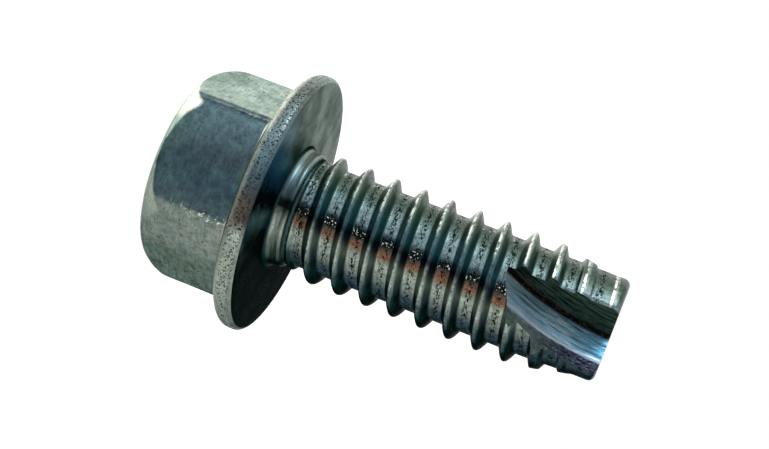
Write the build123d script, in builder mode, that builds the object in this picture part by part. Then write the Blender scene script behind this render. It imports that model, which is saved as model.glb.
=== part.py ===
"""Hex washer head thread cutting screw, one piece of zinc plated carbon steel.

The screw stands on its head: the origin is the centre of the head's top face,
and +Z runs along the shank to the blunt, fluted tip. Millimetres throughout.
"""

import os
from math import cos, radians, sin, tan

from build123d import *

os.makedirs("parts", exist_ok=True)

# Head, a hexagon with one flat facing -Y
across_flats = 14.15
head_height = 8.6  # top face to bearing face, flange included
corner_radius = 0.9  # rounding of the six upright edges
crown_top_diameter = 12.2  # flat circle on top of the head
crown_depth = 2.9  # how far down the rounded crown reaches
crown_steps = (0, 30, 60, 90)  # degrees round the crown's quarter ellipse, a cone between each two

# Flange, forged in one with the head
flange_diameter = 19.5
flange_rim = 1.5  # height of the rim
flange_round = 0.95  # rounding of the rim on the side of the hexagon
flange_steps = (0, 30, 60, 90)  # degrees round that rounding, a cone between each two
flange_lip = 0.35  # bevel of the rim beside the bearing face
flange_slope = 7.0  # fall of the flange's top towards the rim, degrees

# Neck, the blank left without a thread
neck_step = 0.4  # neck inside the crests of the thread
neck_length = 1.3
neck_bevel = 0.5  # into the bearing face
neck_taper = 1.4  # length of the cone from the neck down to the root

# Shank and thread: right hand, rolled, with wide flat roots
shank_length = 24.65  # bearing face to tip
thread_diameter = 9.4  # over the crests
thread_depth = 0.86  # crest to root
pitch = 2.1167  # 12 threads per inch
crest_land = 0.12  # flat on the ridge
flank_angle = 58.0  # between the two flanks of a ridge
first_crest = 1.42  # height over the bearing face at which a crest crosses +X
runout_start = 1.0  # over the bearing face, where the ridge begins to grow from the root
runout_length = 1.6  # up to the first full ridge

# Tip
tip_step = 0.28  # tip's edge inside the root
lead_length = 5.7  # taper over the last threads
tip_bevel = 0.35

# Cutting flute: one square notch, as a disc cutter leaves it, with its floor hollow along the screw
floor_turn = -116.4  # direction that the floor faces, degrees from +X
floor_depth = 3.6  # deepest line of the floor below the tip's edge
face_depth = 3.28  # cutting face inside the tip's edge
cutter_radius = 13.25
cutter_overhang = 1.27  # middle of the cutter beyond the tip

# Allowances of the cutting and joining shapes
sunk = 0.3  # depth that a joined shape goes into the core
spare = 1.0  # distance that a cutting shape passes the surface

# Worked out from the sizes above
tip_z = head_height + shank_length
flange_top_z = head_height - flange_rim
corner_reach = across_flats / 2 / cos(radians(30))
crown_reach = crown_top_diameter / 2
flange_reach = flange_diameter / 2
flange_fall = tan(radians(flange_slope))
round_centre_reach = flange_reach - flange_round
round_centre_z = flange_top_z + flange_round * (1 / cos(radians(flange_slope)) - flange_fall)
hub_z = flange_top_z - flange_reach * flange_fall
crest_reach = thread_diameter / 2
root_reach = crest_reach - thread_depth
neck_reach = crest_reach - neck_step
neck_end_z = head_height + neck_length
tip_reach = root_reach - tip_step
floor_height = tip_reach - floor_depth
face_height = tip_reach - face_depth
cutter_reach = floor_height + cutter_radius
outer_reach = crest_reach + spare
buried_reach = root_reach - sunk
thread_start_z = head_height + first_crest - pitch
thread_length = shank_length + pitch + spare
ridge_height = crest_reach - buried_reach
ridge_half = crest_land / 2 + ridge_height * tan(radians(flank_angle / 2))
lead_growth = (crest_reach - tip_reach) / lead_length
runout_growth = (crest_reach - buried_reach) / runout_length
runout_start_z = head_height + runout_start

# Points of the crown and of the rounded rim, from the axis outwards and from the rim inwards
crown_points = []
for step in crown_steps:
    crown_out = (corner_reach - crown_reach) * sin(radians(step))
    crown_points.append((crown_reach + crown_out, crown_depth * (1 - cos(radians(step)))))
rim_points = []
for step in flange_steps:
    turn = radians(step * (90 - flange_slope) / 90)
    rim_points.append((round_centre_reach + flange_round * cos(turn), round_centre_z - flange_round * sin(turn)))

# Head: hexagon with its rounded crown, flange with its rounded rim, and neck
with BuildPart() as head:
    with BuildSketch():
        RegularPolygon(across_flats / 2, 6, major_radius=False)
        fillet(vertices(), corner_radius)
    extrude(amount=flange_top_z)
    with BuildSketch(Plane.XZ):
        with BuildLine():
            crown = Polyline(crown_points)
            Polyline(crown @ 1, (corner_reach, head_height), (0, head_height), (0, 0), crown @ 0)
        make_face()
    revolve(axis=Axis.Z, mode=Mode.INTERSECT)
    with BuildSketch(Plane.XZ):
        with BuildLine():
            inside = Line((0, hub_z), (0, neck_end_z + neck_taper))
            taper = Polyline(inside @ 1, (buried_reach, neck_end_z + neck_taper), (neck_reach, neck_end_z))
            neck = Line(taper @ 1, (neck_reach, head_height))
            bearing = Line(neck @ 1, (flange_reach, head_height))
            rim = Polyline(bearing @ 1, *rim_points)
            Line(rim @ 1, inside @ 0)
        make_face()
        chamfer(vertices().sort_by_distance(bearing @ 0)[0], neck_bevel)
        chamfer(vertices().sort_by_distance(bearing @ 1)[0], flange_lip)
    revolve(axis=Axis.Z)

# Flute cutter: a disc with one side in the cutting face
face_normal = Vector(1, 0, 0).rotate(Axis.Z, floor_turn + 90)
cutter_side = Vector(cutter_reach, 0, tip_z + cutter_overhang).rotate(Axis.Z, floor_turn)
with BuildPart() as flute_cutter:
    with BuildSketch(Plane(origin=cutter_side + face_normal * face_height, z_dir=face_normal)):
        Circle(cutter_radius)
    extrude(amount=2 * outer_reach)

with BuildPart() as screw:
    # Ridge of the thread, swept along its helix from inside the head past the tip
    with BuildLine():
        thread_line = Helix(
            pitch=pitch,
            height=thread_length,
            radius=buried_reach,
            center=(0, 0, thread_start_z),
        )
    with BuildSketch(Plane(origin=thread_line @ 0, x_dir=(1, 0, 0), z_dir=thread_line % 0)):
        with BuildLine():
            Polyline(
                (0, -ridge_half),
                (ridge_height, -crest_land / 2),
                (ridge_height, crest_land / 2),
                (0, ridge_half),
                close=True,
            )
        make_face()
    sweep(path=thread_line, is_frenet=True)

    # Core, longer than the ridge at both ends
    with BuildSketch(Plane.XY.offset(thread_start_z - pitch)):
        Circle(root_reach)
    extrude(amount=thread_length + 2 * pitch)

    # Envelope: run-out at the neck, lead taper and rounded tip
    with BuildSketch(Plane.XZ):
        with BuildLine():
            base = Polyline((0, head_height), (buried_reach, head_height), (buried_reach, runout_start_z))
            runout_end_z = runout_start_z + (outer_reach - buried_reach) / runout_growth
            runout = Line(base @ 1, (outer_reach, runout_end_z))
            lead_start_z = tip_z - (outer_reach - tip_reach) / lead_growth
            clear = Line(runout @ 1, (outer_reach, lead_start_z))
            lead = Line(clear @ 1, (tip_reach, tip_z))
            Polyline(lead @ 1, (0, tip_z), (0, head_height))
        make_face()
        chamfer(vertices().sort_by_distance(lead @ 1)[0], tip_bevel)
    revolve(axis=Axis.Z, mode=Mode.INTERSECT)

    add(flute_cutter.part, mode=Mode.SUBTRACT)
    add(head.part)

screw.part.label = "screw"
export_step(screw.part, "parts/screw.step")
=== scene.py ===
from math import atan2, cos, hypot, pi, radians, sin, sqrt, tan

import bmesh
import bpy
from mathutils import Matrix, Vector, noise


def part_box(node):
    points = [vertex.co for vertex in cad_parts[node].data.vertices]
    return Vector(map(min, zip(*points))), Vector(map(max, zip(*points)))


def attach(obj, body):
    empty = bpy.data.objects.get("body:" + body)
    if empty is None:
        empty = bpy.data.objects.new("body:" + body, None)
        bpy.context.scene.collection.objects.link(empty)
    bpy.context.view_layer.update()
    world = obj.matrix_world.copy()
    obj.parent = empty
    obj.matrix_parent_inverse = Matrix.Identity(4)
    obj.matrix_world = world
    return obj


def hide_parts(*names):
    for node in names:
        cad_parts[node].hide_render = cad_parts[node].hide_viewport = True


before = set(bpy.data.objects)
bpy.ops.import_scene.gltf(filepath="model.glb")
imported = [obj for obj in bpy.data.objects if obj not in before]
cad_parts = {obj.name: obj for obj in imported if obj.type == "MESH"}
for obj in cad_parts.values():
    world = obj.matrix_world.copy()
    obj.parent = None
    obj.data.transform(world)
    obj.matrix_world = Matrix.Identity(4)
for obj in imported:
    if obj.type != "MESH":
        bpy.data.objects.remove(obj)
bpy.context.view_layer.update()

print("frame loaded")

# The screw is modelled in millimetres and scaled to the frame's metres at the end.
mm = 1000
lowCorner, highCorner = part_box("screw")
tipZ = highCorner.z * mm
flangeReach = -lowCorner.x * mm - 0.01  # a little inside the facets of the solid
photoSide = -86.83  # degrees from +X round to the side that the photo shows


headShape = {
    "acrossFlats": 14.15,
    "cornerRound": 0.9,
    "crownTop": 6.1,  # radius of the flat on top
    "crownDepth": 2.9,
    "topRings": (0, 1.2, 2.4, 3.6, 4.8, 5.6),  # rings of faces: their radii on the flat top
    "sideRings": 14,
    "sideGap": 0.6,  # between the last of these and the foot of the hexagon
    "edgeSoftness": 0.1,  # where the crown runs into a flat
    "bearingZ": 8.6,
    "rimHeight": 1.5,
    "rimRound": 0.95,
    "lipRound": 0.42,
    "flangeSlope": 7.0,  # degrees
    "footRound": 0.3,  # hexagon into flange
    "slopeRings": (8.55, 8.75),
    "rimSegments": 10,
    "lipSegments": 5,
    "bearingRings": 12,
    "filletSegments": 6,
    "neckRadius": 4.3,
    "neckFillet": 0.5,
    "neckEndZ": 9.15,
    "steps": 240,  # once round
    "unevenness": 0.02,
    "evenNearBearing": 0.3,  # the bearing face, its edge and the neck stay true
    "wavesPerMm": (0.45, 1.6),
    "rimFrom": (8.6, 7.2),  # reach and height from which the rim's own finish begins
}

threadShape = {
    "pitch": 25.4 / 12,
    "crestRadius": 4.7,
    "rootRadius": 3.84,
    "crestLand": 0.26,
    "flankAngle": 54.0,
    "crestRound": 0.3,  # width over which the crest runs into the flanks
    "footRound": 0.13,
    "crestZ": 11.624,  # height at which a crest crosses the side in the photo
    "runoutZ": (10.1, 11.0),  # the first ridge grows over this height
    "runoutRadius": 4.0,
    "leadLength": 5.7,
    "tipRadius": 3.6,  # where its rounding begins
    "tipRound": 0.5,
    "stepsPerTurn": 120,
    "pointsPerPitch": 32,
    "crowding": 0.45,  # of these points at the crest
    "turnsBelow": 3,  # under the crest at crestZ
    "turnsAbove": 2,  # beyond the tip, cut off there
    "headGap": 0.12,  # between the head's end of the neck and the shank's, bridged
    "limitSoftness": 0.05,  # where run-out and lead cut the ridge
    "ringSoftness": 0.04,  # of the neck's rings
    "endRings": (0.6, 1.2, 1.8, 2.4),  # inwards from the tip's rounding, on the flat end
    "roughness": 0.02,
    "rootShare": 0.3,  # the root is smoother than the crests
    "wavesPerMm": (2.3, 6),
}

# Neck in rings that the rolling dies left: height over the bearing face, radius
neckSteps = [
    (0.00, 4.30),
    (1.00, 4.30),
    (1.12, 4.22),
    (1.20, 4.02),
    (1.42, 3.98),
    (1.50, 4.04),
    (1.66, 4.03),
    (1.78, 3.94),
    (1.92, 3.84),
]

# One disc cutter milled the flute: its rim left the hollow floor, its side the cutting face
fluteShape = {
    "floorTurn": -116.4,  # direction that the floor faces
    "floorHeight": -0.04,  # deepest line of the floor over the axis
    "faceHeight": 0.28,  # cutting face beside the axis
    "cutterRadius": 13.25,
    "overhang": 1.27,  # middle of the cutter beyond the tip
    "modelledReach": 5.2,  # of its side and rim
    "modelledArc": (3, 57),  # degrees that meet the screw
    "lineSpacing": 0.11,
    "lineDepth": 0.015,
    "linesPerMm": (2.3, 7),
    "rolledEdge": 2.4,  # from here outwards the floor is rolled over
    "rolledIn": 0.32,  # most that the thread rolling pressed in the screw beside that edge
    "rolledUnder": 3.6,  # down to here under the floor
    "rolledBelowTip": (6.0, 3.0),  # pressed in from the first, and fully from the second
    "ridgeHolds": 0.7,  # share of it that a ridge isn't pressed in by
}


def fluteWays():
    # Ways that the floor and the cutting face look, and the middle of the cutter's side
    s = fluteShape
    turn = radians(s["floorTurn"])
    floorWay = Vector((cos(turn), sin(turn), 0))
    faceWay = Vector((-sin(turn), cos(turn), 0))
    middle = floorWay * (s["cutterRadius"] + s["floorHeight"]) + faceWay * s["faceHeight"]
    return floorWay, faceWay, middle + Vector((0, 0, tipZ + s["overhang"]))


def softMin(a, b, width):
    # The smaller of two lengths, with the corner between them rounded over this width
    share = max(0.0, width - abs(a - b)) / width
    return min(a, b) - share * share * width / 4


def softMax(a, b, width):
    return -softMin(-a, -b, width)


def alongSteps(points, at):
    # Value at this place, straight between the points
    for (startAt, startValue), (endAt, endValue) in zip(points, points[1:]):
        if at < endAt:
            share = max(0.0, (at - startAt) / (endAt - startAt))
            return startValue + share * (endValue - startValue)
    return points[-1][1]


def polar(vertex):
    return hypot(vertex.co.x, vertex.co.y), atan2(vertex.co.y, vertex.co.x)


def setRadius(vertex, radius):
    reach = hypot(vertex.co.x, vertex.co.y)
    if reach > 1e-6:
        vertex.co.x *= radius / reach
        vertex.co.y *= radius / reach


def profileEdges(bm, points):
    # Outline to spin, as its vertices followed by its edges
    verts = [bm.verts.new((radius, 0, z)) for radius, z in points]
    return verts + [bm.edges.new(pair) for pair in zip(verts, verts[1:])]


def hexagonReach(angle):
    # From the axis to the side of the hexagon, whose corners are rounded
    apothem = headShape["acrossFlats"] / 2
    cornerRound = headShape["cornerRound"]
    fromFlat = (angle + pi / 2 + pi / 6) % (pi / 3) - pi / 6
    fromCorner = pi / 6 - abs(fromFlat)
    cornerCentre = (apothem - cornerRound) / cos(pi / 6)
    roundEnd = atan2(cornerRound * sin(pi / 6), cornerCentre + cornerRound * cos(pi / 6))
    if fromCorner > roundEnd:
        return apothem / cos(fromFlat)
    across = cornerCentre * sin(fromCorner)
    return cornerCentre * cos(fromCorner) + sqrt(cornerRound**2 - across**2)


def headBmesh():
    s = headShape
    bearingZ = s["bearingZ"]
    fall = tan(radians(s["flangeSlope"]))
    rimTopZ = bearingZ - s["rimHeight"]
    cornerReach = s["acrossFlats"] / 2 / cos(pi / 6)

    def slopeZ(reach):
        return rimTopZ - (flangeReach - reach) * fall

    points = [(reach, 0.0) for reach in s["topRings"]]
    for degrees in range(0, 91, 5):
        turn = radians(degrees)
        reach = s["crownTop"] + (cornerReach - s["crownTop"]) * sin(turn)
        points.append((reach, s["crownDepth"] * (1 - cos(turn))))
    footZ = slopeZ(cornerReach)
    sideLength = footZ - s["sideGap"] - s["crownDepth"]
    for step in range(1, s["sideRings"] + 1):
        points.append((cornerReach, s["crownDepth"] + sideLength * step / s["sideRings"]))
    points.append((cornerReach, footZ))
    points += [(reach, slopeZ(reach)) for reach in s["slopeRings"]]
    roundCentre = flangeReach - s["rimRound"]
    roundZ = rimTopZ + s["rimRound"] * (1 / cos(radians(s["flangeSlope"])) - fall)
    for step in range(s["rimSegments"] + 1):
        turn = radians(s["flangeSlope"] + (90 - s["flangeSlope"]) * step / s["rimSegments"])
        points.append((roundCentre + s["rimRound"] * sin(turn), roundZ - s["rimRound"] * cos(turn)))
    lipCentre = flangeReach - s["lipRound"]
    for step in range(s["lipSegments"] + 1):
        turn = radians(90 * step / s["lipSegments"])
        points.append((lipCentre + s["lipRound"] * cos(turn), bearingZ - s["lipRound"] * (1 - sin(turn))))
    filletStart = s["neckRadius"] + s["neckFillet"]
    for step in range(1, s["bearingRings"]):
        points.append((lipCentre + (filletStart - lipCentre) * step / s["bearingRings"], bearingZ))
    for step in range(s["filletSegments"] + 1):
        turn = radians(90 * step / s["filletSegments"])
        reach = filletStart - s["neckFillet"] * sin(turn)
        points.append((reach, bearingZ + s["neckFillet"] * (1 - cos(turn))))
    points.append((s["neckRadius"], s["neckEndZ"]))

    bm = bmesh.new()
    geometry = profileEdges(bm, points)
    bmesh.ops.spin(
        bm, geom=geometry, cent=(0, 0, 0), axis=(0, 0, 1), angle=2 * pi, steps=s["steps"], use_merge=True
    )
    bmesh.ops.remove_doubles(bm, verts=bm.verts, dist=1e-4)

    # Press the turned blank into the hexagon
    footVerts = set()
    for vertex in bm.verts:
        reach, angle = polar(vertex)
        if vertex.co.z > footZ + 1e-3 or reach > cornerReach + 1e-3:
            continue
        pressed = softMin(reach, hexagonReach(angle), s["edgeSoftness"])
        if abs(vertex.co.z - footZ) < 1e-3:
            vertex.co.z = slopeZ(pressed)
            footVerts.add(vertex)
        setRadius(vertex, pressed)
    footEdges = [edge for edge in bm.edges if edge.verts[0] in footVerts and edge.verts[1] in footVerts]
    bmesh.ops.bevel(
        bm,
        geom=footEdges,
        offset=s["footRound"],
        segments=4,
        profile=0.5,
        affect="EDGES",
        material=-1,
    )
    slow, quick = s["wavesPerMm"]
    for vertex in bm.verts:
        reach = polar(vertex)[0]
        wave = noise.noise(vertex.co * slow) + 0.4 * noise.noise(vertex.co * quick)
        if 0.01 < reach and vertex.co.z < bearingZ - s["evenNearBearing"]:
            setRadius(vertex, reach - s["unevenness"] * (0.6 + wave))
    bmesh.ops.recalc_face_normals(bm, faces=bm.faces)
    return bm


def rolledIn(place, ways):
    # Depth by which the thread rolling pressed the surface in, under the flute's floor
    s = fluteShape
    floorWay, faceWay, middle = ways
    apart = place - middle
    if apart.dot(faceWay) < 0:
        return 0.0
    under = max(0.0, hypot(apart.dot(floorWay), apart.z) - s["cutterRadius"])
    start, full = s["rolledBelowTip"]
    nearTip = min(1.0, max(0.0, (place.z - tipZ + start) / (start - full)))
    return s["rolledIn"] * nearTip * max(0.0, 1 - under / s["rolledUnder"])


def shankBmesh():
    s = threadShape
    pitch = s["pitch"]
    depth = s["crestRadius"] - s["rootRadius"]
    slope = 1 / tan(radians(s["flankAngle"] / 2))
    halfPoints = s["pointsPerPitch"] // 2
    points = []
    for step in range(-halfPoints, halfPoints + 1):
        share = step / halfPoints
        away = pitch / 2 * share * (1 - s["crowding"] + s["crowding"] * abs(share))
        ridge = depth - (abs(away) - s["crestLand"] / 2) * slope
        ridge = softMin(ridge, depth, s["crestRound"])
        ridge = softMax(ridge, 0, s["footRound"])
        points.append((s["rootRadius"] + ridge, away))

    bm = bmesh.new()
    bmesh.ops.spin(
        bm,
        geom=profileEdges(bm, points),
        cent=(0, 0, 0),
        axis=(0, 0, 1),
        dvec=(0, 0, pitch / s["stepsPerTurn"]),
        angle=2 * pi,
        steps=s["stepsPerTurn"],
    )
    oneTurn = bm.verts[:] + bm.edges[:] + bm.faces[:]
    turns = int((tipZ - s["crestZ"]) / pitch) + s["turnsBelow"] + s["turnsAbove"]
    for turn in range(1, turns):
        copied = bmesh.ops.duplicate(bm, geom=oneTurn)["geom"]
        copiedVerts = [item for item in copied if isinstance(item, bmesh.types.BMVert)]
        bmesh.ops.translate(bm, verts=copiedVerts, vec=(0, 0, pitch * turn))
    bmesh.ops.remove_doubles(bm, verts=bm.verts, dist=1e-4)
    lift = s["crestZ"] - s["turnsBelow"] * pitch - pitch * photoSide / 360
    bmesh.ops.translate(bm, verts=bm.verts, vec=(0, 0, lift))

    startZ = headShape["neckEndZ"] + s["headGap"]
    roundZ = tipZ - s["tipRound"]
    for planeZ, keepsUpper in ((startZ, True), (roundZ, False)):
        bmesh.ops.bisect_plane(
            bm,
            geom=bm.verts[:] + bm.edges[:] + bm.faces[:],
            dist=1e-5,
            plane_co=(0, 0, planeZ),
            plane_no=(0, 0, 1),
            clear_inner=keepsUpper,
            clear_outer=not keepsUpper,
        )

    # Neck, run-out and lead taper
    runoutStart, runoutEnd = s["runoutZ"]
    leadZ = tipZ - s["leadLength"]
    leadGrowth = (s["crestRadius"] - s["tipRadius"]) / (roundZ - leadZ)
    ways = fluteWays()
    slow, quick = s["wavesPerMm"]
    for vertex in bm.verts:
        reach = polar(vertex)[0]
        z = vertex.co.z
        grown = (z - runoutStart) / (runoutEnd - runoutStart)
        limit = s["runoutRadius"] + (s["crestRadius"] - s["runoutRadius"]) * min(1.0, grown)
        limit = min(limit, s["crestRadius"] - leadGrowth * max(0.0, z - leadZ))
        wave = 0.6 * noise.noise(vertex.co * slow) + 0.4 * noise.noise(vertex.co * quick)
        reach = softMin(reach, limit, s["limitSoftness"])
        ring = alongSteps(neckSteps, z - headShape["bearingZ"])
        reach = softMax(reach, ring, s["ringSoftness"])
        onRidge = max(0.0, reach - s["rootRadius"]) / depth
        reach -= s["roughness"] * (1 + wave) * (s["rootShare"] + onRidge)
        held = 1 - fluteShape["ridgeHolds"] * min(1.0, onRidge)
        setRadius(vertex, reach - rolledIn(vertex.co, ways) * held)

    # Rounded edge of the tip and its flat end
    rim = [edge for edge in bm.edges if edge.is_boundary and edge.verts[0].co.z > roundZ - 0.01]
    rows = [(radians(turn), 0.0) for turn in range(9, 91, 9)]
    rows += [(pi / 2, inwards) for inwards in s["endRings"]]
    before = 0.0
    for turn, inwards in rows:
        made = bmesh.ops.extrude_edge_only(bm, edges=rim)["geom"]
        drop = s["tipRound"] * (1 - cos(turn)) + inwards
        for vertex in [item for item in made if isinstance(item, bmesh.types.BMVert)]:
            vertex.co.z = roundZ + s["tipRound"] * sin(turn)
            setRadius(vertex, polar(vertex)[0] - drop + before)
        before = drop
        rim = [item for item in made if isinstance(item, bmesh.types.BMEdge) and item.is_boundary]
    bmesh.ops.edgeloop_fill(bm, edges=rim)
    bmesh.ops.recalc_face_normals(bm, faces=bm.faces)
    return bm


def screwBlank(materials):
    blank = bpy.data.meshes.new("screwBlank")
    bm = headBmesh()
    shank = shankBmesh()
    part = bpy.data.meshes.new("shank")
    shank.to_mesh(part)
    shank.free()
    bm.from_mesh(part)
    openEdges = [edge for edge in bm.edges if edge.is_boundary]
    bmesh.ops.bridge_loops(bm, edges=openEdges)
    bmesh.ops.recalc_face_normals(bm, faces=bm.faces)
    print("open edges left:", sum(not edge.is_manifold for edge in bm.edges), "faces:", len(bm.faces))

    names = list(materials)
    bearingZ = headShape["bearingZ"]
    flatness = 0.03  # millimetres
    filletMiddle = headShape["neckRadius"] + headShape["neckFillet"] / 2
    rimReach, rimZ = headShape["rimFrom"]
    for face in bm.faces:
        middle = face.calc_center_median()
        reach = hypot(middle.x, middle.y)
        if middle.z > bearingZ - flatness:
            onFlat = middle.z < bearingZ + flatness and reach > filletMiddle
            kind = "bearing" if onFlat else "thread"
        elif reach > rimReach or middle.z > rimZ:
            kind = "rim"
        else:
            kind = "hexagon"
        face.material_index = names.index(kind)
        face.smooth = True
    bm.to_mesh(blank)
    bm.free()
    for material in materials.values():
        blank.materials.append(material)
    return blank


def lineWave(place):
    # Uneven lines that the cutter's teeth left side by side
    slow, quick = fluteShape["linesPerMm"]
    deep = noise.noise(Vector((place * slow, 0, 0))) + 0.7 * noise.noise(Vector((place * quick, 5, 0)))
    return deep * fluteShape["lineDepth"]


def fluteCutter(materials):
    s = fluteShape
    radius = s["cutterRadius"]
    reach = s["modelledReach"]
    lines = int(reach / s["lineSpacing"])
    rimShift = 20  # so that the rim's lines differ from the side's
    points = [(radius - reach, 0)]
    for line in range(1, lines):
        place = s["lineSpacing"] * line
        points.append((radius - reach + place, lineWave(reach - place)))
    points.append((radius, 0))
    for line in range(1, lines):
        place = s["lineSpacing"] * line
        points.append((radius + lineWave(rimShift + place), place))
    points += [(radius, reach), (radius - reach, reach)]

    bm = bmesh.new()
    outline = profileEdges(bm, points)
    closing = bm.edges.new((outline[0], outline[len(points) - 1]))
    edges = [item for item in outline if isinstance(item, bmesh.types.BMEdge)] + [closing]
    bmesh.ops.contextual_create(bm, geom=edges)
    first, last = s["modelledArc"]
    bmesh.ops.rotate(bm, verts=bm.verts, cent=(0, 0, 0), matrix=Matrix.Rotation(-radians(first), 3, "Z"))
    bmesh.ops.spin(
        bm,
        geom=bm.verts[:] + bm.edges[:] + bm.faces[:],
        cent=(0, 0, 0),
        axis=(0, 0, 1),
        angle=-radians(last - first),
        steps=last - first,
    )
    bmesh.ops.recalc_face_normals(bm, faces=bm.faces)
    names = list(materials)
    for face in bm.faces:
        onRim = face.calc_center_median().z > s["lineSpacing"] * 0.2
        face.material_index = names.index("milledFloor" if onRim else "milledFace")
    floorWay, faceWay, middle = fluteWays()
    stand = Matrix((-floorWay, (0, 0, 1), faceWay)).transposed().to_4x4()
    bm.transform(Matrix.Translation(middle) @ stand)
    print("cutter's open edges:", sum(not edge.is_manifold for edge in bm.edges))
    mesh = bpy.data.meshes.new("fluteCutter")
    bm.to_mesh(mesh)
    bm.free()
    for material in materials.values():
        mesh.materials.append(material)
    return mesh


def makeScrew(materials):
    blank = bpy.data.objects.new("screwBlank", screwBlank(materials))
    cutter = bpy.data.objects.new("fluteCutter", fluteCutter(materials))
    for made in (blank, cutter):
        bpy.context.scene.collection.objects.link(made)
    print("blank and cutter modelled")
    milling = blank.modifiers.new("milling", "BOOLEAN")
    milling.operation = "DIFFERENCE"
    milling.solver = "EXACT"
    milling.object = cutter
    milling.material_mode = "INDEX"
    evaluated = blank.evaluated_get(bpy.context.evaluated_depsgraph_get())
    mesh = bpy.data.meshes.new_from_object(evaluated)
    mesh.name = "threadCuttingScrew"
    bpy.data.objects.remove(blank)
    bpy.data.objects.remove(cutter)
    mesh.transform(Matrix.Scale(1 / mm, 4))
    mesh.set_sharp_from_angle(angle=radians(35))
    screw = bpy.data.objects.new("threadCuttingScrew", mesh)
    bpy.context.scene.collection.objects.link(screw)
    print("flute milled, polygons:", len(mesh.polygons))
    return screw


def linearColour(hexText):
    channels = [int(hexText[i : i + 2], 16) / 255 for i in (1, 3, 5)]
    return tuple(c / 12.92 if c <= 0.04045 else ((c + 0.055) / 1.055) ** 2.4 for c in channels) + (1.0,)


def addNode(tree, kind, inputs=None, stops=None, **settings):
    # A node with its settings, the values or links of its inputs, and the stops of its ramp
    node = tree.nodes.new(kind)
    for name, value in settings.items():
        setattr(node, name, value)
    for key, value in (inputs or {}).items():
        if isinstance(key, int):
            socket = node.inputs[key]
        else:
            socket = next(s for s in node.inputs if s.name == key and s.enabled)
        if isinstance(value, bpy.types.Node):
            value = next(s for s in value.outputs if s.enabled)
        if isinstance(value, bpy.types.NodeSocket):
            tree.links.new(value, socket)
        else:
            socket.default_value = value
    for place, colour in sorted((stops or {}).items()):
        elements = node.color_ramp.elements
        element = elements.new(place) if 0 < place < 1 else elements[-1 if place else 0]
        element.position = place
        element.color = colour
    return node


# Zinc plate with a thin passivation film, whose tint turns with its thickness from a
# pale grey-green over blue to a green so dark that it is nearly black. These tones also
# paint light and shade: white for painted highlights and glints, the darkest ones for
# painted shade and painted dark reflections
plateAndLight = {
    "white": "#eef1e7",
    "cream": "#cfd3c4",
    "pale": "#a2b4a8",
    "sage": "#869187",
    "grey": "#69736c",
    "moss": "#4f5f56",
    "reed": "#4c6458",
    "lichen": "#43534f",
    "mist": "#667b7f",
    "fern": "#4f6e68",
    "sea": "#40707a",
    "steel": "#4a5f68",
    "slate": "#37464c",
    "gloom": "#2d4048",
    "deepBlue": "#225f7d",
    "teal": "#283e3d",
    "ivy": "#3a5044",
    "navy": "#20292e",
    "olive": "#66675a",
    "umber": "#46403a",
    "brown": "#6b4a36",
    "pine": "#1c3431",
    "black": "#0b1413",
}
filmAndLight = {name: linearColour(tint) for name, tint in plateAndLight.items()}

# Film tints round the screw by degrees from the side in the photo, positive towards +X,
# with light and shade painted in: pale on the upper side as if lit, dark on the lower
# side as a painted reflection of dark surroundings, a black line near 0 as a painted
# dark reflection, and painted highlights in white and cream
tintsAndLight = {
    "hexagon": {
        -180: "sage", -110: "pale", -44.5: "pale", -43: "slate", -40: "mist", -38: "slate", -36: "steel",
        -28: "steel", -14: "slate", 4: "gloom", 15: "slate", 20: "slate", 21.5: "grey", 42: "grey",
        60: "moss", 75: "moss", 95: "lichen", 125: "grey", 180: "sage",
    },
    # The crown's white from -54 to -29 is a painted highlight
    "crown": {
        -180: "sage", -62: "pale", -54: "white", -29: "white", -22: "pale", -6: "pale", 8: "sage",
        24: "sage", 45: "moss", 180: "grey",
    },
    "rim": {
        -180: "sage", -80: "pale", -55: "grey", -26: "mist", -12: "steel", -2: "slate", 4: "umber",
        12: "umber", 20: "sage", 46: "sage", 75: "moss", 110: "moss", 180: "sage",
    },
    "rimRound": {
        -180: "pale", -80: "cream", -34: "cream", -22: "sage", 0: "grey", 15: "olive", 40: "sage", 75: "moss",
        110: "moss", 180: "pale",
    },
    "bearing": {
        -180: "reed", -60: "reed", -44: "lichen", -30: "sea", -20: "deepBlue", -10: "deepBlue", -1: "navy",
        4: "navy", 12: "sea", 26: "teal", 40: "pine", 150: "pine", 180: "reed",
    },
    # The root's black from -4 to 3 is a painted dark reflection
    "root": {
        -180: "grey", -130: "sage", -84: "grey", -70: "grey", -56: "moss", -38: "lichen", -25: "mist",
        -12: "mist", -8: "slate", -4: "black", 3: "black", 6: "umber", 14: "brown", 18: "olive", 25: "sage",
        40: "grey", 52: "slate", 66: "slate", 82: "pine", 140: "moss", 180: "grey",
    },
    "tipFlank": {
        -180: "moss", -85: "grey", -50: "moss", -34: "fern", -8: "sea", 2: "navy", 10: "slate", 22: "sage",
        36: "mist", 48: "teal", 90: "pine", 180: "moss",
    },
    "headFlank": {
        -180: "moss", -85: "pale", -64: "sage", -45: "grey", -28: "fern", -8: "sea", 2: "navy", 12: "grey",
        24: "sage", 40: "slate", 60: "pine", 90: "pine", 180: "moss",
    },
    "crest": {
        -180: "moss", -85: "cream", -60: "sage", -36: "grey", -20: "steel", -6: "slate", 2: "navy",
        12: "grey", 30: "sage", 42: "moss", 54: "slate", 65: "pine", 100: "pine", 180: "moss",
    },
    "neck": {
        -180: "grey", -130: "sage", -64: "sage", -45: "mist", -20: "steel", -9: "slate", -4: "black",
        3: "black", 14: "grey", 30: "sage", 48: "moss", 75: "pine", 140: "moss", 180: "grey",
    },
}

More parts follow.
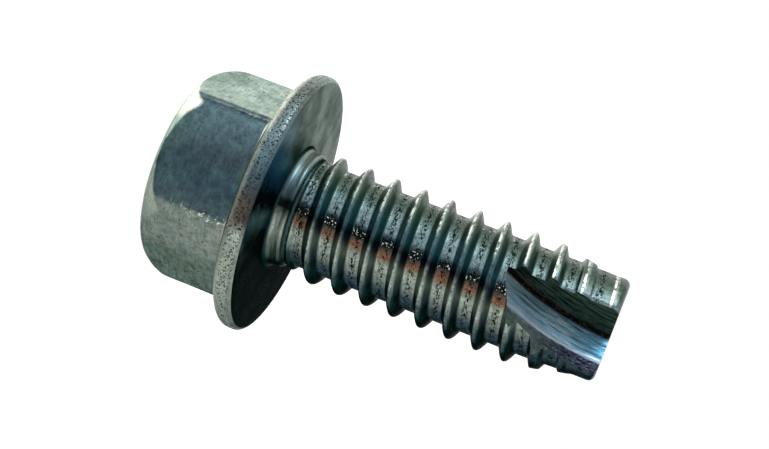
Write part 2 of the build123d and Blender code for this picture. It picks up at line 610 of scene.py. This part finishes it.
# Where the marks lie round the screw, painted highlights, painted glints and the line of the
# painted dark reflection among them: from, to and softness, in the same degrees
marksRound = {
    "lowerEdgeSpecks": (19, 23, 1.2),
    "upperEdgeSpecks": (-40, -38, 0.8),
    "bearingPatches": (-180, -48, 12),
    "bearingDark": (-58, -36, 7),
    "crestsHighlit": (-80, -27, 5),
    "darkReflectionLine": (-4, 3, 1.5),
    "rootTurnsAway": (-72, -64, 3),
}

# The same in millimetres over the head's top face
marksAlong = {
    "rimSkin": (7.45, 8.45, 0.12),
    "neckFoot": (8.5, 8.78, 0.06),
    "neckGroove": (9.74, 10.04, 0.08),
}

# The same in pitches from a crest to the next one
marksOnThread = {
    "headFlank": (0.745, 0.97, 0.015),
    "offCrest": (0.06, 0.94, 0.015),
    "root": (0.28, 0.72, 0.014),
    # painted highlight along the crests' side towards the head
    "highlitEdge": (0.91, 0.985, 0.01),
    "cracks": (0.42, 0.58, 0.07),
}


def tintPlace(degrees):
    # Place along the tints, which go once round the screw from 0 to 1
    return degrees / 360 + 0.5


def tintAndLightStops(surface):
    return {tintPlace(degrees): filmAndLight[tint] for degrees, tint in tintsAndLight[surface].items()}


def newMaterial(name):
    material = bpy.data.materials.new(name)
    material.use_nodes = True
    tree = material.node_tree
    return material, tree, tree.nodes["Principled BSDF"]


def screwPlaces(tree, wander):
    # Millimetres with +X towards the side in the photo, the place along the tints, which
    # wanders by some degrees, and the turn round the axis
    coords = addNode(tree, "ShaderNodeTexCoord").outputs["Object"]
    turned = (0, 0, radians(-photoSide))
    place = addNode(tree, "ShaderNodeMapping", {"Vector": coords, "Rotation": turned, "Scale": (mm, mm, mm)})
    axes = addNode(tree, "ShaderNodeSeparateXYZ", {"Vector": place})
    angle = addNode(tree, "ShaderNodeMath", {0: axes.outputs["Y"], 1: axes.outputs["X"]}, operation="ARCTAN2")
    turn = addNode(tree, "ShaderNodeMath", {0: angle, 1: 2 * pi}, operation="DIVIDE")
    patch = addNode(
        tree, "ShaderNodeTexNoise", {"Vector": place, "Scale": 1.2, "Detail": 4.0, "Roughness": 0.6}
    )
    drift = addNode(tree, "ShaderNodeMath", {0: patch.outputs["Fac"], 1: 0.5}, operation="SUBTRACT")
    widest = wander * 4 / 360  # the noise seldom strays more than a quarter from its middle
    shifted = addNode(tree, "ShaderNodeMath", {0: drift, 1: widest, 2: turn}, operation="MULTIPLY_ADD")
    around = addNode(tree, "ShaderNodeMath", {0: shifted, 1: 0.5}, operation="ADD")
    return place, axes, around, turn


def window(tree, value, low, high, soft):
    # 1 between two values and 0 outside, with soft ends
    rise = addNode(
        tree,
        "ShaderNodeMapRange",
        {"Value": value, "From Min": low - soft, "From Max": low + soft},
        interpolation_type="SMOOTHSTEP",
    )
    fall = addNode(
        tree,
        "ShaderNodeMapRange",
        {"Value": value, "From Min": high + soft, "From Max": high - soft},
        interpolation_type="SMOOTHSTEP",
    )
    return addNode(tree, "ShaderNodeMath", {0: rise, 1: fall}, operation="MULTIPLY")


def markRound(tree, around, mark):
    # Window of a mark that is placed by degrees round the screw
    low, high, soft = marksRound[mark]
    return window(tree, around, tintPlace(low), tintPlace(high), soft=soft / 360)


def grains(tree, place, size, cover, within=None):
    # Specks of about this size in millimetres; a higher cover makes more of them
    cells = addNode(
        tree, "ShaderNodeTexNoise", {"Vector": place, "Scale": 0.5 / size, "Detail": 3.0, "Roughness": 0.6}
    )
    edge = 0.72 - 0.3 * cover
    share = addNode(
        tree,
        "ShaderNodeMapRange",
        {"Value": cells.outputs["Fac"], "From Min": edge - 0.03, "From Max": edge + 0.03},
    )
    if within is None:
        return share
    return addNode(tree, "ShaderNodeMath", {0: share, 1: within}, operation="MULTIPLY")


def clouded(tree, colour, place, size, amount):
    # Lighter and darker patches of the film, as a share of the colour
    cloud = addNode(
        tree, "ShaderNodeTexNoise", {"Vector": place, "Scale": 0.5 / size, "Detail": 6.0, "Roughness": 0.68}
    )
    tone = addNode(
        tree,
        "ShaderNodeMapRange",
        {
            "Value": cloud.outputs["Fac"],
            "From Min": 0.3,
            "From Max": 0.7,
            "To Min": 1 - amount,
            "To Max": 1 + amount,
        },
    )
    return addNode(
        tree,
        "ShaderNodeMix",
        {"Factor": 1.0, "A": colour, "B": tone},
        data_type="RGBA",
        blend_type="MULTIPLY",
    )


def tinged(tree, colour, place, size, tint, amount):
    # Soft patches where the film is thicker and takes another tint
    patch = addNode(
        tree, "ShaderNodeTexNoise", {"Vector": place, "Scale": 0.5 / size, "Detail": 3.0, "Roughness": 0.55}
    )
    share = addNode(
        tree,
        "ShaderNodeMapRange",
        {"Value": patch.outputs["Fac"], "From Min": 0.46, "From Max": 0.68, "To Max": amount},
    )
    return addNode(tree, "ShaderNodeMix", {"Factor": share, "A": colour, "B": filmAndLight[tint]}, data_type="RGBA")


def finish(tree, shader, colour, pits, depth, smooth, pitted):
    # Pits sink into the surface and are rougher; the darker colours, dark film and painted
    # shade alike, hold back the glare at grazing angles
    shader.inputs["Metallic"].default_value = 1.0
    shown = next(s for s in colour.outputs if s.enabled)
    tree.links.new(shown, shader.inputs["Base Color"])
    edge = addNode(
        tree,
        "ShaderNodeMapRange",
        {"Value": shown, "From Min": 0.005, "From Max": 0.15, "To Min": 0.12, "To Max": 0.75},
    )
    tree.links.new(edge.outputs[0], shader.inputs["Specular Tint"])
    bump = addNode(
        tree, "ShaderNodeBump", {"Height": pits, "Strength": 0.7, "Distance": depth / mm}, invert=True
    )
    tree.links.new(bump.outputs["Normal"], shader.inputs["Normal"])
    roughness = addNode(tree, "ShaderNodeMapRange", {"Value": pits, "To Min": smooth, "To Max": pitted})
    tree.links.new(roughness.outputs[0], shader.inputs["Roughness"])


def hexagonSteel():
    # Cold headed flats: cloudy film, fine drag lines of the punch, small pits
    material, tree, shader = newMaterial("zincPlatedHexagon")
    place, axes, around, _ = screwPlaces(tree, wander=0.6)
    height = axes.outputs["Z"]
    # The ramps paint light and shade round the head: the upper flat pale as if lit, the flat at 0 degrees
    # dark as a painted reflection, and a painted white highlight on the crown
    side = addNode(tree, "ShaderNodeValToRGB", {"Fac": around}, stops=tintAndLightStops("hexagon"))
    crown = addNode(tree, "ShaderNodeValToRGB", {"Fac": around}, stops=tintAndLightStops("crown"))
    normal = addNode(tree, "ShaderNodeTexCoord").outputs["Normal"]
    facing = addNode(tree, "ShaderNodeSeparateXYZ", {"Vector": normal})
    onCrown = addNode(
        tree, "ShaderNodeMapRange", {"Value": facing.outputs["Z"], "From Min": -0.1, "From Max": -0.3}
    )
    onTop = addNode(tree, "ShaderNodeMapRange", {"Value": height, "From Min": 0.4, "From Max": 0.1})
    top = addNode(tree, "ShaderNodeMix", {"Factor": onTop, "A": crown, "B": filmAndLight["sage"]}, data_type="RGBA")
    side = tinged(tree, side, place, size=1.3, tint="fern", amount=0.5)
    side = clouded(tree, side, place, size=0.28, amount=0.42)
    top = clouded(tree, top, place, size=0.28, amount=0.2)
    colour = addNode(tree, "ShaderNodeMix", {"Factor": onCrown, "A": side, "B": top}, data_type="RGBA")
    dragged = addNode(
        tree, "ShaderNodeMapping", {"Vector": place, "Scale": (1, 1, 9), "Rotation": (0.4, 0, 0)}
    )
    colour = clouded(tree, colour, dragged, size=0.5, amount=0.25)

    # Pale cream specks on the two rounded edges beside the photo's flat
    lower = markRound(tree, around, "lowerEdgeSpecks")
    upper = markRound(tree, around, "upperEdgeSpecks")
    edges = addNode(tree, "ShaderNodeMath", {0: lower, 1: upper}, operation="ADD")
    nearFlange = addNode(tree, "ShaderNodeMapRange", {"Value": height, "From Min": 2.0, "From Max": 6.5})
    worn = addNode(tree, "ShaderNodeMath", {0: edges, 1: nearFlange}, operation="MULTIPLY")
    paleSpecks = grains(tree, place, size=0.12, cover=0.4, within=worn)
    colour = addNode(
        tree, "ShaderNodeMix", {"Factor": paleSpecks, "A": colour, "B": filmAndLight["cream"]}, data_type="RGBA"
    )
    pits = grains(tree, place, size=0.1, cover=0.22)
    colour = addNode(
        tree, "ShaderNodeMix", {"Factor": pits, "A": colour, "B": filmAndLight["slate"]}, data_type="RGBA"
    )
    finish(tree, shader, colour, pits, depth=0.03, smooth=0.36, pitted=0.6)
    return material


def rimSteel():
    # Flange rim: forging skin under the plate, thickly speckled with small pits
    material, tree, shader = newMaterial("zincPlatedRim")
    place, axes, around, _ = screwPlaces(tree, wander=3.0)
    height = axes.outputs["Z"]
    # The ramps paint light and shade round the rim: a painted cream highlight along its rounded upper edge,
    # pale above as if lit, darker below
    rim = addNode(tree, "ShaderNodeValToRGB", {"Fac": around}, stops=tintAndLightStops("rim"))
    upper = addNode(tree, "ShaderNodeValToRGB", {"Fac": around}, stops=tintAndLightStops("rimRound"))
    onRound = addNode(tree, "ShaderNodeMapRange", {"Value": height, "From Min": 7.7, "From Max": 7.4})
    colour = addNode(tree, "ShaderNodeMix", {"Factor": onRound, "A": rim, "B": upper}, data_type="RGBA")
    colour = clouded(tree, colour, place, size=0.25, amount=0.3)
    skin = window(tree, height, *marksAlong["rimSkin"])
    thick = grains(tree, place, size=0.075, cover=0.48, within=skin)
    thin = grains(tree, place, size=0.06, cover=0.3)
    pits = addNode(tree, "ShaderNodeMath", {0: thick, 1: thin}, operation="MAXIMUM")
    colour = addNode(
        tree, "ShaderNodeMix", {"Factor": pits, "A": colour, "B": filmAndLight["navy"]}, data_type="RGBA"
    )
    finish(tree, shader, colour, pits, depth=0.04, smooth=0.36, pitted=0.6)
    return material


def bearingSteel():
    # Bearing face: flat and smooth, under a film that turns deep blue beside the painted dark
    # reflection; its ramp paints the lower half dark as a painted reflection and the upper part
    # pale as if lit
    material, tree, shader = newMaterial("zincPlatedBearingFace")
    place, axes, around, _ = screwPlaces(tree, wander=4.0)
    colour = addNode(tree, "ShaderNodeValToRGB", {"Fac": around}, stops=tintAndLightStops("bearing"))
    patched = markRound(tree, around, "bearingPatches")
    patches = tinged(tree, colour, place, size=1.3, tint="sage", amount=0.35)
    colour = addNode(tree, "ShaderNodeMix", {"Factor": patched, "A": colour, "B": patches}, data_type="RGBA")
    colour = clouded(tree, colour, place, size=0.9, amount=0.26)

    # Dark green patch beside the neck, above the blue in the photo
    across = addNode(tree, "ShaderNodeCombineXYZ", {"X": axes.outputs["X"], "Y": axes.outputs["Y"]})
    reach = addNode(tree, "ShaderNodeVectorMath", {0: across}, operation="LENGTH").outputs["Value"]
    besideNeck = window(tree, reach, low=4.2, high=6.4, soft=0.9)
    aboveBlue = markRound(tree, around, "bearingDark")
    thick = addNode(tree, "ShaderNodeMath", {0: besideNeck, 1: aboveBlue}, operation="MULTIPLY")
    colour = addNode(
        tree, "ShaderNodeMix", {"Factor": thick, "A": colour, "B": filmAndLight["ivy"]}, data_type="RGBA"
    )
    pits = grains(tree, place, size=0.12, cover=0.2)
    finish(tree, shader, colour, pits, depth=0.02, smooth=0.36, pitted=0.5)
    return material


def threadSteel():
    # Rolled thread: flanks drawn smooth by the dies, roots cracked and pitted where the
    # metal flowed last
    s = threadShape
    material, tree, shader = newMaterial("zincPlatedRolledThread")
    place, axes, around, turn = screwPlaces(tree, wander=2.2)
    height = axes.outputs["Z"]
    overCrest = addNode(tree, "ShaderNodeMath", {0: height, 1: s["crestZ"]}, operation="SUBTRACT")
    pitches = addNode(tree, "ShaderNodeMath", {0: overCrest, 1: s["pitch"]}, operation="DIVIDE")
    wound = addNode(tree, "ShaderNodeMath", {0: pitches, 1: turn}, operation="SUBTRACT")
    phase = addNode(tree, "ShaderNodeMath", {0: wound}, operation="FRACT")
    onHeadFlank = window(tree, phase, *marksOnThread["headFlank"])
    offCrest = window(tree, phase, *marksOnThread["offCrest"])
    inRoot = window(tree, phase, *marksOnThread["root"])
    ridgeZ = s["runoutZ"][0]
    pastNeck = addNode(
        tree, "ShaderNodeMapRange", {"Value": height, "From Min": ridgeZ, "From Max": ridgeZ + 0.15}
    )
    onLead = addNode(tree, "ShaderNodeMapRange", {"Value": height, "From Min": 27.5, "From Max": 30.5})

    # The ramps round the screw paint light and shade on roots, flanks and crests: pale on the upper side as
    # if lit, dark on the lower side and along a black line as painted reflections
    root = addNode(tree, "ShaderNodeValToRGB", {"Fac": around}, stops=tintAndLightStops("root"))
    root = clouded(tree, root, place, size=0.14, amount=0.4)
    tipFlank = addNode(tree, "ShaderNodeValToRGB", {"Fac": around}, stops=tintAndLightStops("tipFlank"))
    headFlank = addNode(tree, "ShaderNodeValToRGB", {"Fac": around}, stops=tintAndLightStops("headFlank"))
    crest = addNode(tree, "ShaderNodeValToRGB", {"Fac": around}, stops=tintAndLightStops("crest"))
    drawn = addNode(tree, "ShaderNodeMapping", {"Vector": place, "Scale": (0.4, 0.4, 5)})
    flanks = addNode(
        tree, "ShaderNodeMix", {"Factor": onHeadFlank, "A": tipFlank, "B": headFlank}, data_type="RGBA"
    )
    flanks = clouded(tree, flanks, drawn, size=0.3, amount=0.35)
    rootShare = addNode(tree, "ShaderNodeMath", {0: inRoot, 1: onLead}, operation="MAXIMUM")
    colour = addNode(tree, "ShaderNodeMix", {"Factor": rootShare, "A": flanks, "B": root}, data_type="RGBA")
    crest = clouded(tree, crest, place, size=0.12, amount=0.8)
    colour = addNode(tree, "ShaderNodeMix", {"Factor": offCrest, "A": crest, "B": colour}, data_type="RGBA")

    # The neck has no ridge: the dies left rings in it, with painted shade where they are sunk
    ring = addNode(tree, "ShaderNodeValToRGB", {"Fac": around}, stops=tintAndLightStops("neck"))
    ring = clouded(tree, ring, drawn, size=0.3, amount=0.4)
    groove = window(tree, height, *marksAlong["neckGroove"])
    foot = window(tree, height, *marksAlong["neckFoot"])
    sunkShade = addNode(tree, "ShaderNodeMath", {0: groove, 1: foot}, operation="ADD")
    ring = addNode(
        tree, "ShaderNodeMix", {"Factor": sunkShade, "A": ring, "B": filmAndLight["teal"]}, data_type="RGBA"
    )
    colour = addNode(tree, "ShaderNodeMix", {"Factor": pastNeck, "A": ring, "B": colour}, data_type="RGBA")

    # Painted highlight: white specks on the crest's side towards the head, where it faces up in
    # the photo
    highlitEdge = window(tree, phase, *marksOnThread["highlitEdge"])
    highlitSide = markRound(tree, around, "crestsHighlit")
    ridgeEdge = addNode(tree, "ShaderNodeMath", {0: highlitEdge, 1: pastNeck}, operation="MULTIPLY")
    paleSpecks = addNode(tree, "ShaderNodeMath", {0: ridgeEdge, 1: highlitSide}, operation="MULTIPLY")
    paleSpecks = grains(tree, place, size=0.2, cover=0.88, within=paleSpecks)
    colour = addNode(
        tree, "ShaderNodeMix", {"Factor": paleSpecks, "A": colour, "B": filmAndLight["white"]}, data_type="RGBA"
    )

    # Black cracks and pits along the middle of the root
    middle = window(tree, phase, *marksOnThread["cracks"])
    seam = addNode(tree, "ShaderNodeMath", {0: middle, 1: pastNeck}, operation="MULTIPLY")
    drawnOut = addNode(tree, "ShaderNodeMapping", {"Vector": place, "Scale": (0.55, 0.55, 1.25)})
    cracks = grains(tree, drawnOut, size=0.075, cover=0.58, within=seam)
    fine = grains(tree, place, size=0.06, cover=0.24, within=inRoot)
    pits = addNode(tree, "ShaderNodeMath", {0: cracks, 1: fine}, operation="MAXIMUM")
    colour = addNode(
        tree, "ShaderNodeMix", {"Factor": pits, "A": colour, "B": filmAndLight["black"]}, data_type="RGBA"
    )

    # Painted glints: bright grains along the line of the painted dark reflection and where the root
    # turns away
    onDarkReflection = markRound(tree, around, "darkReflectionLine")
    turned = markRound(tree, around, "rootTurnsAway")
    glintZone = addNode(tree, "ShaderNodeMath", {0: onDarkReflection, 1: turned}, operation="ADD")
    rootPastNeck = addNode(tree, "ShaderNodeMath", {0: inRoot, 1: pastNeck}, operation="MULTIPLY")
    glintsOnRoot = addNode(tree, "ShaderNodeMath", {0: glintZone, 1: rootPastNeck}, operation="MULTIPLY")
    bright = grains(tree, place, size=0.08, cover=0.36, within=glintsOnRoot)
    colour = addNode(
        tree, "ShaderNodeMix", {"Factor": bright, "A": colour, "B": filmAndLight["white"]}, data_type="RGBA"
    )

    # The flat end is plain
    belowEnd = addNode(
        tree, "ShaderNodeMapRange", {"Value": height, "From Min": tipZ - 0.04, "From Max": tipZ - 0.2}
    )
    end = clouded(tree, filmAndLight["grey"], place, size=0.3, amount=0.2)
    colour = addNode(tree, "ShaderNodeMix", {"Factor": belowEnd, "A": end, "B": colour}, data_type="RGBA")
    pits = addNode(tree, "ShaderNodeMath", {0: pits, 1: belowEnd}, operation="MULTIPLY")
    finish(tree, shader, colour, pits, depth=0.06, smooth=0.34, pitted=0.7)
    return material


# The flute was milled after the thread was rolled, so its film has tints of its own
milled = {
    "towardsHead": "#7d98a6",
    "towardsTip": "#62a0c4",
    "streak": "#4a6975",
    "scratch": "#2f4152",
    "haze": "#bccdd8",
    "pale": "#a3b2bd",
    "skinTowardsHead": "#4c5a58",
    "skinTowardsTip": "#2f3543",
    "fleck": "#14161f",
    "silver": "#8a90ac",
    # The corner colour and the cutting face's dark colour are painted shade
    "corner": "#191d1c",
    "brownSpecks": "#54423a",
    "faceShaded": "#101b18",
    "faceLine": "#465c50",
    "chips": "#7a534b",
}
milledFilm = {name: linearColour(tint) for name, tint in milled.items()}


def milledPlaces(tree):
    # Millimetres in the flute: out from the cutting face, in from the floor, and beyond
    # the middle of the cutter
    floorWay, faceWay, middle = fluteWays()
    coords = addNode(tree, "ShaderNodeTexCoord").outputs["Object"]
    moved = addNode(tree, "ShaderNodeVectorMath", {0: coords, 1: middle / mm}, operation="SUBTRACT")
    out, down, up = [
        addNode(tree, "ShaderNodeVectorMath", {0: moved, 1: way}, operation="DOT_PRODUCT").outputs["Value"]
        for way in (faceWay * mm, floorWay * -mm, (0, 0, mm))
    ]
    flat = addNode(tree, "ShaderNodeCombineXYZ", {"X": down, "Y": up})
    reach = addNode(tree, "ShaderNodeVectorMath", {0: flat}, operation="LENGTH").outputs["Value"]
    inward = addNode(tree, "ShaderNodeMath", {0: fluteShape["cutterRadius"], 1: reach}, operation="SUBTRACT")
    return out, inward, up


def milledLines(tree, across, along):
    # Lines that the cutter left, drawn out along the flute
    place = addNode(tree, "ShaderNodeCombineXYZ", {"X": across, "Y": along})
    stretched = addNode(tree, "ShaderNodeMapping", {"Vector": place, "Scale": (4, 0.55, 1)})
    lines = addNode(
        tree, "ShaderNodeTexNoise", {"Vector": stretched, "Scale": 1.0, "Detail": 8.0, "Roughness": 0.78}
    )
    return lines.outputs["Fac"]


def milledFloorSteel():
    # Milled after rolling: bright and bluish, dull towards the head, rolled over and dark
    # along its outer edge
    material, tree, shader = newMaterial("milledFluteFloor")
    out, _, up = milledPlaces(tree)
    lines = milledLines(tree, out, up)
    nearTip = addNode(tree, "ShaderNodeMapRange", {"Value": up, "From Min": -9.0, "From Max": -1.3})
    clean = addNode(
        tree,
        "ShaderNodeMix",
        {"Factor": nearTip, "A": milledFilm["towardsHead"], "B": milledFilm["towardsTip"]},
        data_type="RGBA",
    )
    streak = addNode(tree, "ShaderNodeMapRange", {"Value": lines, "From Min": 0.55, "From Max": 0.3})
    colour = addNode(
        tree, "ShaderNodeMix", {"Factor": streak, "A": clean, "B": milledFilm["streak"]}, data_type="RGBA"
    )
    place = addNode(tree, "ShaderNodeCombineXYZ", {"X": out, "Y": up})
    scratched = addNode(tree, "ShaderNodeMapping", {"Vector": place, "Scale": (5, 0.35, 1)})
    scratches = addNode(tree, "ShaderNodeTexNoise", {"Vector": scratched, "Scale": 1.0, "Detail": 3.0})
    scratch = addNode(
        tree,
        "ShaderNodeMapRange",
        {"Value": scratches.outputs["Fac"], "From Min": 0.47, "From Max": 0.33, "To Max": 0.85},
    )
    colour = addNode(
        tree, "ShaderNodeMix", {"Factor": scratch, "A": colour, "B": milledFilm["scratch"]}, data_type="RGBA"
    )
    misted = addNode(
        tree, "ShaderNodeMapping", {"Vector": place, "Scale": (2.4, 0.3, 1), "Location": (7, 3, 0)}
    )
    mist = addNode(
        tree, "ShaderNodeTexNoise", {"Vector": misted, "Scale": 1.0, "Detail": 6.0, "Roughness": 0.7}
    )
    hazy = addNode(
        tree,
        "ShaderNodeMapRange",
        {"Value": mist.outputs["Fac"], "From Min": 0.5, "From Max": 0.66, "To Max": 0.7},
    )
    colour = addNode(
        tree, "ShaderNodeMix", {"Factor": hazy, "A": colour, "B": milledFilm["haze"]}, data_type="RGBA"
    )

    # Pale broken line beside the outer edge, and the skin rolled over it
    edge = fluteShape["rolledEdge"]
    broken = addNode(
        tree,
        "ShaderNodeMapRange",
        {"Value": lines, "From Min": 0.36, "From Max": 0.56, "To Min": 0.15},
    )
    alongEdge = window(tree, out, low=edge - 0.3, high=edge, soft=0.1)
    paleLine = addNode(tree, "ShaderNodeMath", {0: alongEdge, 1: broken}, operation="MULTIPLY")
    colour = addNode(
        tree, "ShaderNodeMix", {"Factor": paleLine, "A": colour, "B": milledFilm["pale"]}, data_type="RGBA"
    )
    rolled = addNode(
        tree, "ShaderNodeMapRange", {"Value": out, "From Min": edge - 0.03, "From Max": edge + 0.1}
    )
    worn = addNode(tree, "ShaderNodeMapRange", {"Value": up, "From Min": -6.5, "From Max": -4.0})
    skin = addNode(
        tree,
        "ShaderNodeMix",
        {"Factor": worn, "A": milledFilm["skinTowardsHead"], "B": milledFilm["skinTowardsTip"]},
        data_type="RGBA",
    )
    skin = clouded(tree, skin, place, size=0.2, amount=0.5)
    colour = addNode(tree, "ShaderNodeMix", {"Factor": rolled, "A": colour, "B": skin}, data_type="RGBA")
    smeared = addNode(tree, "ShaderNodeMath", {0: rolled, 1: worn}, operation="MULTIPLY")
    dragged = addNode(tree, "ShaderNodeMapping", {"Vector": place, "Scale": (1, 0.45, 1)})
    flecks = grains(tree, dragged, size=0.08, cover=0.62, within=smeared)
    colour = addNode(
        tree, "ShaderNodeMix", {"Factor": flecks, "A": colour, "B": milledFilm["fleck"]}, data_type="RGBA"
    )
    silver = grains(tree, dragged, size=0.05, cover=0.22, within=smeared)
    colour = addNode(
        tree, "ShaderNodeMix", {"Factor": silver, "A": colour, "B": milledFilm["silver"]}, data_type="RGBA"
    )

    # Painted shade in the corner under the cutting face, with brown specks in it
    corner = addNode(tree, "ShaderNodeMapRange", {"Value": out, "From Min": 0.5, "From Max": 0.3})
    colour = addNode(
        tree, "ShaderNodeMix", {"Factor": corner, "A": colour, "B": milledFilm["corner"]}, data_type="RGBA"
    )
    brownSpecks = grains(tree, place, size=0.12, cover=0.5, within=corner)
    colour = addNode(
        tree, "ShaderNodeMix", {"Factor": brownSpecks, "A": colour, "B": milledFilm["brownSpecks"]}, data_type="RGBA"
    )
    finish(tree, shader, colour, streak, depth=0.02, smooth=0.32, pitted=0.5)
    return material


def milledFaceSteel():
    # Cutting face: green-black as painted shade, like the screw's lower side, with fine lines and a
    # reddish line of chips in the corner
    material, tree, shader = newMaterial("milledFluteFace")
    _, inward, up = milledPlaces(tree)
    lines = milledLines(tree, inward, up)
    streak = addNode(tree, "ShaderNodeMapRange", {"Value": lines, "From Min": 0.42, "From Max": 0.6})
    colour = addNode(
        tree,
        "ShaderNodeMix",
        {"Factor": streak, "A": milledFilm["faceShaded"], "B": milledFilm["faceLine"]},
        data_type="RGBA",
    )
    place = addNode(tree, "ShaderNodeCombineXYZ", {"X": inward, "Y": up})
    corner = window(tree, inward, low=0.05, high=0.4, soft=0.12)
    headward = window(tree, up, low=-8.5, high=-4.5, soft=0.8)
    strip = addNode(tree, "ShaderNodeMath", {0: corner, 1: headward}, operation="MULTIPLY")
    chips = grains(tree, place, size=0.12, cover=0.55, within=strip)
    colour = addNode(
        tree, "ShaderNodeMix", {"Factor": chips, "A": colour, "B": milledFilm["chips"]}, data_type="RGBA"
    )
    finish(tree, shader, colour, streak, depth=0.02, smooth=0.34, pitted=0.5)
    return material


def makeMaterials():
    return {
        "hexagon": hexagonSteel(),
        "rim": rimSteel(),
        "bearing": bearingSteel(),
        "thread": threadSteel(),
        "milledFloor": milledFloorSteel(),
        "milledFace": milledFaceSteel(),
    }


screw = makeScrew(makeMaterials())
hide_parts("screw")
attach(screw, "root")
print("screw dressed")


studio = {
    "floorHalfSize": 3.0,  # metres
    "floorColour": "#f4f4f2",
    "whiteShare": 0.8,
    "roomStrength": 0.55,
    "lens": 68.56,  # millimetres, as is the sensor
    "sensorWidth": 36,
    "drawnFrom": 0.005,  # metres
    "drawnTo": 20,
    "cameraAt": (5.699, -102.903, 33.505),  # millimetres
    "cameraAim": (-1.259, -0.085, 15.562),
    "cameraRoll": 111.34,  # degrees
}


def seenByCamera(tree):
    # 1 for the rays that show the room straight or mirrored, 0 for those that only light
    path = addNode(tree, "ShaderNodeLightPath").outputs
    seen = path["Is Camera Ray"]
    for ray in ("Is Glossy Ray", "Is Transmission Ray"):
        seen = addNode(tree, "ShaderNodeMath", {0: seen, 1: path[ray]}, operation="MAXIMUM")
    return seen


def makeFloor():
    half = studio["floorHalfSize"]
    bm = bmesh.new()
    bmesh.ops.create_grid(bm, x_segments=1, y_segments=1, size=half)
    mesh = bpy.data.meshes.new("studioFloor")
    bm.to_mesh(mesh)
    bm.free()
    floorPiece = bpy.data.objects.new("studioFloor", mesh)
    bpy.context.scene.collection.objects.link(floorPiece)
    material, tree, shader = newMaterial("paleStudioPaper")
    shader.inputs["Base Color"].default_value = linearColour(studio["floorColour"])
    shader.inputs["Roughness"].default_value = 0.9
    shader.inputs["Emission Color"].default_value = (1, 1, 1, 1)
    shader.inputs["Specular IOR Level"].default_value = 0.0
    seen = seenByCamera(tree)
    glow = addNode(tree, "ShaderNodeMath", {0: seen, 1: studio["whiteShare"]}, operation="MULTIPLY")
    tree.links.new(glow.outputs[0], shader.inputs["Emission Strength"])
    mesh.materials.append(material)


def makeWorld():
    world = bpy.data.worlds.new("studioRoom")
    world.use_nodes = True
    bpy.context.scene.world = world
    tree = world.node_tree
    background = tree.nodes["Background"]
    background.inputs["Color"].default_value = (1, 1, 1, 1)
    seen = seenByCamera(tree)
    strength = addNode(
        tree, "ShaderNodeMapRange", {"Value": seen, "To Min": studio["roomStrength"], "To Max": 1.0}
    )
    tree.links.new(strength.outputs[0], background.inputs["Strength"])


# Soft lamps: place, aim and size in millimetres, and watts
lamps = {
    "keyFromTheLeft": {"at": (-260, -120, 60), "aim": (0, 0, 15), "size": 140, "watts": 0.35},
    "fillFromTheRight": {"at": (220, -260, 120), "aim": (0, 0, 15), "size": 200, "watts": 0.15},
}


def makeLamps():
    for name, s in lamps.items():
        light = bpy.data.lights.new(name, "AREA")
        light.size = s["size"] / mm
        light.energy = s["watts"]
        lamp = bpy.data.objects.new(name, light)
        at = Vector(s["at"]) / mm
        lamp.location = at
        lamp.rotation_euler = (Vector(s["aim"]) / mm - at).to_track_quat("-Z", "Y").to_euler()
        bpy.context.scene.collection.objects.link(lamp)


def makeCamera():
    s = studio
    data = bpy.data.cameras.new("photoCamera")
    data.lens = s["lens"]
    data.sensor_width = s["sensorWidth"]
    data.clip_start = s["drawnFrom"]
    data.clip_end = s["drawnTo"]
    camera = bpy.data.objects.new("photoCamera", data)
    at = Vector(s["cameraAt"]) / mm
    look = (Vector(s["cameraAim"]) / mm - at).to_track_quat("-Z", "Y").to_matrix()
    roll = Matrix.Rotation(radians(s["cameraRoll"]), 3, "Z")
    camera.matrix_world = Matrix.Translation(at) @ (look @ roll).to_4x4()
    bpy.context.scene.collection.objects.link(camera)
    bpy.context.scene.camera = camera


makeFloor()
makeWorld()
makeLamps()
makeCamera()
bpy.context.scene.view_settings.view_transform = "Standard"
print("studio set")
